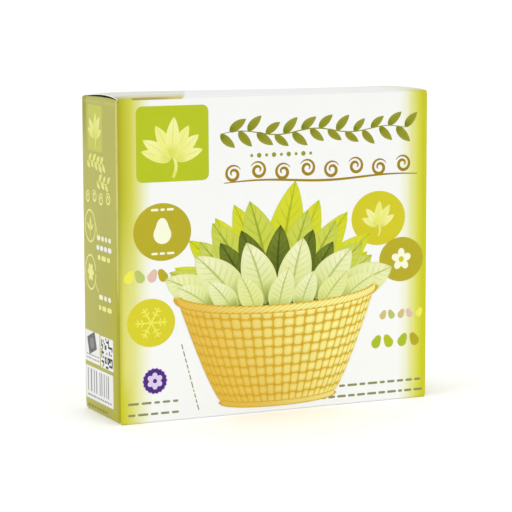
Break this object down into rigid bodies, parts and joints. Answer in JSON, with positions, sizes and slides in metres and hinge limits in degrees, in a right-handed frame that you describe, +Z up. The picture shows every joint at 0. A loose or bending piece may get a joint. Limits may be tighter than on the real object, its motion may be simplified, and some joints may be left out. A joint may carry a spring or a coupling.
{
  "type": "frozen dessert carton",
  "caption": "Shut folding carton of printed coated board for frozen sweets, upright, with a tucked lid and base on side dust flaps.",
  "frame": {"origin": "on the surface that the carton stands on, under the middle of its base", "axes": "+X along the width of the front panel, to the right as seen from the front; +Y from the front panel to the back panel; +Z up"},
  "size_m": [0.1686, 0.0494, 0.1592],
  "materials": {
    "printed_board": "coated and printed, low gloss"
  },
  "bodies": {
    "root": {"carton": "printed_board"}
  },
  "joints": []
}
